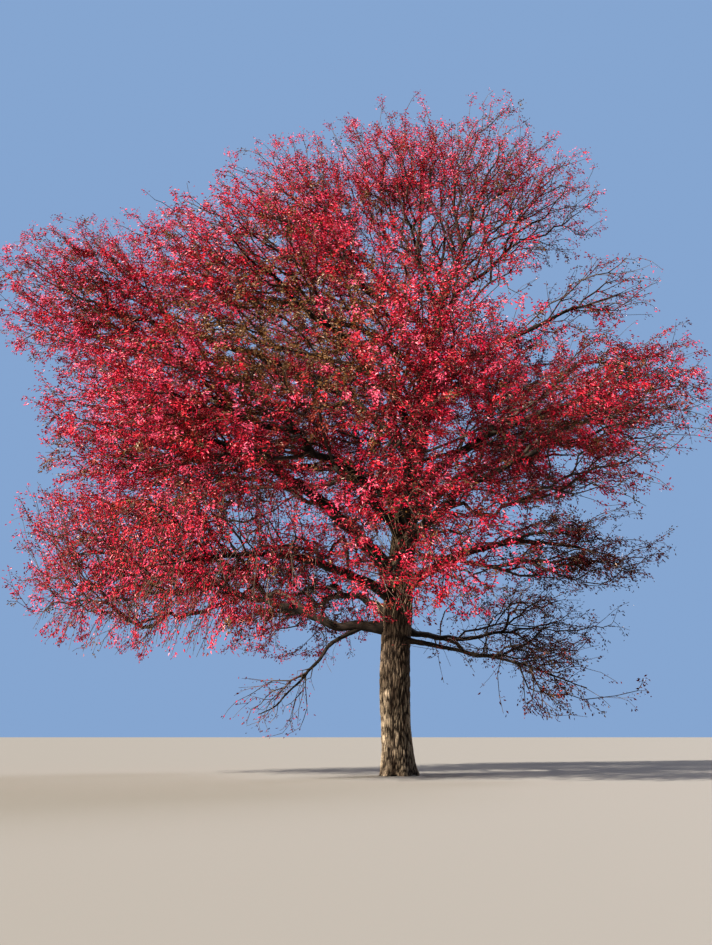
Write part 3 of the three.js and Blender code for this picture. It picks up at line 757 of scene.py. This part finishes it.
def twig_ends(mass, seed):
    """Where a mass's twigs end, and how leafy each end is: inside its outline, and beside its bough"""
    rng = np.random.default_rng(TWIG_SEED + seed)
    count = int(SPRAYS * np.prod(mass["half"]) * mass.get("twigs", 1))
    ways = directions(mass, count, seed)
    skin, walls = skin_and_walls(mass, mass["middle"] + ways)
    bays = np.clip(drift(mass["middle"] + ways / skin[:, None], TONGUE, seed=21), 0, 1)
    under = np.clip(-ways[:, 2], 0, 1)
    deeper = RAGGED_BELOW["hanging" if "hanging" in mass else "plain"]
    outline = 1 - RAGGED * (1 + deeper * under) * bays
    depth = np.minimum(outline / skin - SKIN_INSET, 1 / np.maximum(walls, 1e-6))
    share = (np.arange(count) * EVEN_STEP + rng.random()) % 1
    share = NEAREST_SPOT + (1 - NEAREST_SPOT) * np.sqrt(share)
    spots = mass["middle"] + ways * (depth * share)[:, None]
    spots += rng.normal(size=spots.shape) * SPOT_STRAY
    leafage = np.full(count, float(mass.get("leafage", 1)))
    if "butt" in mass:
        side_spots = beside_bough(mass, rng)
        spots = np.vstack([spots, side_spots])
        leafage = np.r_[leafage, np.full(len(side_spots), SIDE_LEAFAGE * mass.get("leafage", 1))]
    kept = ~closes_gap(spots, rng)
    return spots[kept], leafage[kept]


def joined(mass, spots):
    """Joins each spot to a mass's stem by a twig: returns all joints, what carries each, and which of them
    are spots, with their number"""
    bare = BARE_BOUGH
    if "butt" not in mass:
        bare = max(mass["entry"] - BARE_STEM["before entry"], BARE_STEM["least"])
    stem = np.array([spot_on(mass["limb"], share) for share in np.linspace(bare, LAST_JOINT, JOINTS)])
    at = np.zeros((JOINTS + 2 * len(spots), 3))
    path = np.zeros(len(at))
    heading = np.zeros_like(at)
    at[:JOINTS] = stem
    path[:JOINTS] = np.linspace(0, 1, JOINTS) * (1 - bare) * mass["long"]
    heading[:JOINTS] = unit(np.gradient(stem, axis=0))
    carrier_of = [-1, *range(JOINTS - 1)]
    ends = {}
    counted = np.array([1, 1, HANGING_RISE if "hanging" in mass else 1])
    arch = HANGING_ARCH if "hanging" in mass else ARCH
    n = JOINTS
    for i in np.argsort(np.linalg.norm(spots - stem[0], axis=1)):
        way = spots[i] - at[:n]
        far = np.linalg.norm(way * counted, axis=1)
        turn = 1 - (way * heading[:n]).sum(1) / np.maximum(far, 1e-6)
        j = int(np.argmin(far + PATH_SHARE * path[:n] + TURN_SHARE * turn * far))
        if far[j] < SHORTEST_SHOOT:
            continue
        carrier = j
        if far[j] > LONGEST_STRAIGHT:
            at[n] = at[j] + way[j] * 0.5 + heading[j] * far[j] * BEND + UP * far[j] * arch
            heading[n] = unit(way[j])
            path[n] = path[j] + far[j] * 0.5
            carrier_of.append(j)
            carrier = n
            n += 1
        at[n] = spots[i]
        heading[n] = unit(spots[i] - at[carrier])
        path[n] = path[j] + far[j]
        carrier_of.append(carrier)
        ends[n] = i
        n += 1
    return at, carrier_of, ends


def lay_twigs(at, carrier_of, ends):
    """Thickens each twig by the tips that it feeds, and lays each as a path that runs on to its last tip"""
    tips = np.zeros(len(carrier_of))
    tips[list(ends)] = 1
    for k in range(len(tips) - 1, 0, -1):
        tips[carrier_of[k]] += tips[k]
    girth = TIP_GIRTH * tips ** (1 / PIPE)
    goes_on = {}
    for k in range(1, len(tips)):
        j = carrier_of[k]
        if j not in goes_on or tips[k] > tips[goes_on[j]]:
            goes_on[j] = k
    for k in range(JOINTS - 1):
        goes_on[k] = k + 1
    for k in range(JOINTS, len(tips)):
        j = carrier_of[k]
        if goes_on.get(j) == k and j >= JOINTS:
            continue
        chain = [j, k]
        while chain[-1] in goes_on:
            chain.append(goes_on[chain[-1]])
        thickness = girth[chain]
        thickness[0] = thickness[1] * TWIG_COLLAR
        lines, girths = twig_paths["thick" if thickness[0] > THICK_TWIG else "thin"]
        lines.append(at[chain])
        girths.append(thickness)


twig_paths = {"thick": ([], []), "thin": ([], [])}
tip_at, tip_from, tip_leafage, tip_mass = [], [], [], []
for n, mass in enumerate(masses.values()):
    spots, leafage = twig_ends(mass, n + 1)
    at, carrier_of, ends = joined(mass, spots)
    lay_twigs(at, carrier_of, ends)
    for end, i in ends.items():
        tip_at.append(at[end])
        tip_from.append(at[carrier_of[end]])
        tip_leafage.append(leafage[i])
        tip_mass.append(n)

twig_tree, given = growth_tree("plain twigs", sides="Int", bark="Material")
lines = put(twig_tree, "GeometryNodeMeshToCurve", {"Mesh": given["Geometry"]})
girth = put(twig_tree, "GeometryNodeInputNamedAttribute", {"Name": "girth"}, data_type="FLOAT")
ring = put(twig_tree, "GeometryNodeCurvePrimitiveCircle", {"Resolution": given["sides"], "Radius": 1.0})
tubes = put(twig_tree, "GeometryNodeCurveToMesh", {"Curve": lines, "Profile Curve": ring, "Scale": girth})
rounded = put(twig_tree, "GeometryNodeSetShadeSmooth", {"Geometry": tubes})
whole = put(twig_tree, "GeometryNodeRealizeInstances", {"Geometry": rounded})
barked = put(twig_tree, "GeometryNodeSetMaterial", {"Geometry": whole, "Material": given["bark"]})
put(twig_tree, "NodeGroupOutput", {0: barked})


def twig_bark(name, colours):
    """Smooth young bark, a little glossy, mottled where the light has greyed it in patches of 110 mm"""
    material, tree, surface = new_material(name)
    place = put(tree, "ShaderNodeTexCoord").outputs["Object"]
    mottle = put(tree, "ShaderNodeTexNoise", {"Vector": place, "Scale": 9.0, "Detail": 2.0})
    tone = put(
        tree,
        "ShaderNodeMix",
        {MIX_SHARE: mottle.outputs["Fac"], MIX_FROM: linear(colours[0]), MIX_TO: linear(colours[1])},
        data_type="RGBA",
    )
    tree.links.new(tone.outputs[MIXED], surface.inputs["Base Color"])
    surface.inputs["Roughness"].default_value = 0.7
    return material


mass_nodes = [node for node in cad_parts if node.startswith("mass_")]
# The thick twigs' near-black bark is painted shade of the crown's inside; the thin twigs' paler bark is their
# own colour
for kind, sides, colours in (("thick", 4, ("1e1613", "54473f")), ("thin", 3, ("2e231d", "7d6a5e"))):
    lines, girths = twig_paths[kind]
    piece = grown(
        f"twigs_{kind}",
        path_mesh("twig_lines", lines, girth=girths),
        twig_tree,
        sides=sides,
        bark=twig_bark(f"black_gum_{kind}_twig_bark", colours),
    )
    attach(piece, "root")
    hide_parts(*mass_nodes)


# Water shoots
# Thin pale shoots of a year or two, which stand out of the trunk's bark about its fork and turn up to the
# light. Their bark is smooth and tan.

WATER_SHOOTS = 130
SHOOT_HEIGHTS = (2.9, 5.2)
SHOOT_LENGTHS = (0.35, 1.1)
SHOOT_GIRTHS = np.linspace(1, 0.3, 7) * 0.007  # from foot to tip
SHOOT_FOOT = 0.9  # share of the trunk's radius at which a shoot starts
OUTWARDS, UPWARDS, ASIDE = 0.5, 0.8, 0.3  # for each metre of a shoot's length
TURNS_UP = 1.6  # above 1, it climbs more towards its tip

rng = np.random.default_rng(17)
t = np.linspace(0, 1, len(SHOOT_GIRTHS))[:, None]
shoot_paths = []
for _ in range(WATER_SHOOTS):
    height, bearing = rng.uniform(*SHOOT_HEIGHTS), rng.uniform(0, 2 * math.pi)
    outward = np.array([math.cos(bearing), math.sin(bearing), 0])
    rise = outward * t * OUTWARDS + UP * t**TURNS_UP * UPWARDS + rng.normal(size=3) * ASIDE * t**2
    start = trunk_centre(height) + outward * trunk_radius(height) * SHOOT_FOOT
    shoot_paths.append(start + rise * rng.uniform(*SHOOT_LENGTHS))
shoots = grown(
    "water_shoots",
    path_mesh("shoot_lines", shoot_paths, girth=[SHOOT_GIRTHS] * WATER_SHOOTS),
    twig_tree,
    sides=4,
    bark=twig_bark("tan_shoot_bark", ("b29c7e", "dccbae")),
)
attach(shoots, "root")


# Leaves
# Small oval leaves with a pointed tip, 4 to 8 cm long and smallest at the top, which stand by turns on either
# side of a twig and crowd at its end. They are smooth and a little glossy, folded along the middle rib, and
# have turned scarlet, crimson and maroon, spray by spray. Which spray takes which tint is partly painted
# light: brighter towards the sun, darker in the crown's shade low on the east, and the pale rose is partly a
# painted sheen.

LEAF_LENGTH = 0.067
LEAF_SIZES = (0.75, 1.15)
LEAVES = 17.5  # on a spray
SMALL_LEAVES = {"above": 10.6, "size": 0.8}  # those at the windy top are smaller, and more
CLUMPS = 0.75  # how much the leaves crowd on some shoots and leave others bare
CLUMPED = (0.06, 2.5)  # the least and the most that this makes of the usual number
CLUMP_REACH = 0.42
TONGUE_REACH = 3.2  # metres from a mass's foot at which the tongues are as wide as CLUMP_REACH
TONGUE_LENGTH = 0.15  # below 1 a tongue is longer than it is wide
FRINGE = {"top": 4.0, "depth": 1.6, "thinning": 0.75, "clumps": 2.0}  # the lowest sprays hang half bare
THIN_PLACES = [  # where twigs show with few leaves on them: middle and size as shown, and leafage
    ((5.6, 6.5), (2.4, 1.8), 0.25),
    ((1.5, 10.6), (4.2, 4.0), 0.45),
    ((-3.4, 11.2), (2.0, 1.4), 0.6),
    ((0.9, 4.9), (1.6, 1.6), 0.6),
]
FIRST_LEAF, LEAFY_SHARE = 0.2, 0.85  # of a twig, and so the last leaf stands just past its tip
SPUR = 0.045  # how far a leaf stands off its twig, on a short spur
SIDE_SPREAD = 0.35
SPLAY = (25, 75)  # degrees between a leaf and its twig
DROOP = 0.7
FACES_UP = 0.6
OLIVE_PATCH = (-2.0, -4.5, 7.6)  # middle of the foliage that is still turning, at the front of the crown
OLIVE_SIZE = (1.5, 3.0, 1.2)
OLIVE_DRIFT, OLIVE_MIX = 0.12, 0.22  # how unevenly leaves turn, by place and by spray
BRIGHT_DRIFT, BRIGHT_MIX = 0.5, 0.6
SUNNY_SIDE = 0.09  # painted sunlight: how much brighter a tint the leaves get, a metre nearer to the sun
SUNWARDS = np.array([-0.75, -0.45, 0.5])
CROWN_MIDDLE = [0, 0, 7.0]
TINTS = {  # each tint's colour and share of the sprays, from the darkest red to the brightest, then browns
    "maroon": ("4c0413", 0.1),
    "deep_red": ("7a0720", 0.18),
    "crimson": ("a00d34", 0.16),
    "carmine": ("b51a46", 0.14),
    "scarlet": ("c42640", 0.16),
    # The pale rose is partly the leaves' own pink and partly painted sheen
    "rose": ("c84c70", 0.12),
    "russet": ("8f3a31", 0.06),
    "olive_brown": ("6b4d2c", 0.08),
}

leaf_tree, given = growth_tree("leaf sprays", leaf="Object", leaf_length="Float", tint="Material")
along, facing = (
    put(leaf_tree, "GeometryNodeInputNamedAttribute", {"Name": name}, data_type="FLOAT_VECTOR")
    for name in ("along", "facing")
)
share = put(leaf_tree, "GeometryNodeInputNamedAttribute", {"Name": "share"}, data_type="FLOAT")
pose = put(
    leaf_tree,
    "FunctionNodeAxesToRotation",
    {"Primary Axis": along, "Secondary Axis": facing},
    primary_axis="Y",
    secondary_axis="Z",
)
leaf = put(leaf_tree, "GeometryNodeObjectInfo", {"Object": given["leaf"]}).outputs["Geometry"]
size = put(leaf_tree, "ShaderNodeMath", {0: share, 1: given["leaf_length"]}, operation="MULTIPLY")
leaves = put(
    leaf_tree,
    "GeometryNodeInstanceOnPoints",
    {"Points": given["Geometry"], "Instance": leaf, "Rotation": pose, "Scale": size},
)
whole = put(leaf_tree, "GeometryNodeRealizeInstances", {"Geometry": leaves})
tinted = put(leaf_tree, "GeometryNodeSetMaterial", {"Geometry": whole, "Material": given["tint"]})
put(leaf_tree, "NodeGroupOutput", {0: tinted})

# One leaf, one unit long from its root to its tip: two halves that rise to either side of the rib
leaf_shape = bpy.data.meshes.new("leaf_shape")
leaf_shape.from_pydata(
    [(0, 0, 0), (0.21, 0.5, 0.11), (-0.21, 0.5, 0.11), (0, 1, -0.08)], [], [(0, 1, 3), (0, 3, 2)]
)
leaf_model = in_scene("leaf_model", leaf_shape)

rng = np.random.default_rng(7)
tip_at, tip_from, leafage, tip_mass = (np.array(part) for part in (tip_at, tip_from, tip_leafage, tip_mass))
count = len(tip_at)

# How many leaves each spray bears: they crowd on tongues that spread from the mass's foot
foot = np.array([mass["limb"][int(mass["entry"] * (LIMB_POINTS - 1))] for mass in masses.values()])[tip_mass]
tongues = foot + unit(tip_at - foot) * TONGUE_REACH + (tip_at - foot) * TONGUE_LENGTH
hanging = np.array(["hanging" in mass for mass in masses.values()])[tip_mass]
fringe = np.where(hanging, np.clip((FRINGE["top"] - tip_at[:, 2]) / FRINGE["depth"], 0, 1), 0)
crowding = CLUMPS * (1 + FRINGE["clumps"] * fringe) * drift(tongues, CLUMP_REACH, seed=11)
clumped = np.clip(1 - FRINGE["thinning"] * fringe + crowding, *CLUMPED)
for middle, size, left in THIN_PLACES:
    clumped *= 1 - (1 - left) * well_inside(tip_at, middle, size)
fineness = np.where(tip_at[:, 2] > SMALL_LEAVES["above"], SMALL_LEAVES["size"], 1)
borne = np.floor(LEAVES * leafage * clumped / fineness**2 + rng.random(count)).astype(int)

# Where each leaf stands on its twig, and how it is turned
spray = np.repeat(np.arange(count), borne)
total = len(spray)
place = np.concatenate([np.arange(b) for b in borne])
t = (place + rng.random(total)) / borne[spray]
along_twig = unit(tip_at - tip_from)[spray]
root = tip_from[spray] + (tip_at - tip_from)[spray] * (FIRST_LEAF + LEAFY_SHARE * t)[:, None]
root += rng.normal(size=(total, 3)) * SPUR
side = unit(np.cross(along_twig, UP + rng.normal(size=(total, 3)) * SIDE_SPREAD))
side *= np.where(place % 2, 1, -1)[:, None]
splay = np.radians(rng.uniform(*SPLAY, total))[:, None]
heading = along_twig * np.cos(splay) + side * np.sin(splay) - UP * rng.uniform(0.0, DROOP, total)[:, None]
facing_up = UP * FACES_UP + rng.normal(size=(total, 3))
share_of_size = rng.uniform(*LEAF_SIZES, total) * fineness[spray]

# Which tint each spray has: the most olive ones are brown, and the rest are dealt out by their brightness
olive = np.exp(-((np.linalg.norm((tip_at - OLIVE_PATCH) / OLIVE_SIZE, axis=1)) ** 2))
olive = olive + OLIVE_DRIFT * drift(tip_at, 1.1, seed=3) + rng.normal(size=count) * OLIVE_MIX
bright = BRIGHT_DRIFT * drift(tip_at, 1.2, seed=5) + rng.normal(size=count) * BRIGHT_MIX
# Painted sunlight: sprays nearer the sun get brighter tints
bright += SUNNY_SIDE * (tip_at - CROWN_MIDDLE) @ unit(SUNWARDS)
# Painted shade: the low masses on the east side, which lie in the crown's shade, get darker tints
bright += np.array([mass.get("bright", 0) for mass in masses.values()])[tip_mass]
turned = np.argsort(olive)[::-1][: int(count * (TINTS["olive_brown"][1] + TINTS["russet"][1]))]
reds = np.setdiff1d(np.arange(count), turned)
order = np.concatenate([reds[np.argsort(bright[reds])], turned[::-1]])
tint_of = np.full(count, len(TINTS) - 1)
first = 0
for k, (colour, part) in enumerate(TINTS.values()):
    upto = first + int(round(part * count))
    tint_of[order[first:upto]] = k
    first = upto
tint_of = tint_of[spray]

# A leaf's skin is smooth and waxy, which gives it a soft gloss, and each tint is one plain colour
for k, (tint, (colour, part)) in enumerate(TINTS.items()):
    mine = tint_of == k
    material, tree, surface = new_material(f"autumn_leaf_{tint}")
    surface.inputs["Base Color"].default_value = linear(colour)
    surface.inputs["Specular IOR Level"].default_value = 0.5
    surface.inputs["Roughness"].default_value = 0.45
    mesh = path_mesh(
        "leaf_roots",
        [root[mine]],
        along=[unit(heading[mine])],
        facing=[facing_up[mine]],
        share=[share_of_size[mine]],
    )
    piece = grown(f"leaves_{tint}", mesh, leaf_tree, leaf=leaf_model, leaf_length=LEAF_LENGTH, tint=material)
    for name in ("along", "facing", "share"):
        attribute = piece.data.attributes.get(name)
        if attribute:
            piece.data.attributes.remove(attribute)
    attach(piece, "root")
    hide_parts(*mass_nodes)
bpy.data.objects.remove(leaf_model)


# Setting
# A plain pale floor and pale surroundings, a warm key light from the left front with a low fill beside it, a
# soft light from behind, and the camera at the photograph's place: an eye's height above the ground and far
# off, tilted up at the crown.

FLOOR_SIZE = 400.0
SOFT_LIGHT = 0.07  # of the pale surroundings on the tree
BACKDROP_LIGHT = 0.62  # of the same surroundings as the backdrop
LIGHTS = {  # strength, how broad it is and how it is turned, in degrees, and colour
    "key": (9.4, 1, (57, 0, -51), "fff1de"),
    "fill": (0.75, 8, (87, 0, -62), "ffe9cf"),
    "back": (1.9, 25, (58, 0, 142), "f4f2ff"),
}
TILT = 10.5
LENS_PIXELS = 1400
PHOTO_HEIGHT = 945
FILM = 36  # in millimetres

floor_shape = bpy.data.meshes.new("floor")
half = FLOOR_SIZE / 2
floor_shape.from_pydata(
    [(-half, -half, 0), (half, -half, 0), (half, half, 0), (-half, half, 0)], [], [(0, 1, 2, 3)]
)
floor = in_scene("floor", floor_shape)
material, tree, surface = new_material("pale_floor")
surface.inputs["Base Color"].default_value = linear("858583")
surface.inputs["Roughness"].default_value = 0.9
floor_shape.materials.append(material)

world = bpy.data.worlds.new("pale_surroundings")
bpy.context.scene.world = world
world.use_nodes = True
backdrop = world.node_tree.nodes["Background"]
backdrop.inputs["Color"].default_value = linear("a3c5f2")
seen = put(world.node_tree, "ShaderNodeLightPath").outputs["Is Camera Ray"]
strength = put(
    world.node_tree, "ShaderNodeMapRange", {"Value": seen, "To Min": SOFT_LIGHT, "To Max": BACKDROP_LIGHT}
)
world.node_tree.links.new(strength.outputs[0], backdrop.inputs["Strength"])

for name, (energy, breadth, turns, colour) in LIGHTS.items():
    sun = bpy.data.lights.new(name, "SUN")
    sun.energy = energy
    sun.angle = math.radians(breadth)
    sun.color = linear(colour)[:3]
    lamp = in_scene(name, sun)
    lamp.rotation_euler = [math.radians(turn) for turn in turns]

lens = bpy.data.cameras.new("camera")
lens.sensor_width = FILM
lens.lens = FILM * LENS_PIXELS / PHOTO_HEIGHT
lens.clip_end = 1000
camera = in_scene("camera", lens)
camera.location = EYE
camera.rotation_euler = (math.radians(90 + TILT), 0, 0)
bpy.context.scene.camera = camera
bpy.context.scene.view_settings.view_transform = "Standard"
bpy.context.scene.view_settings.look = "Medium High Contrast"
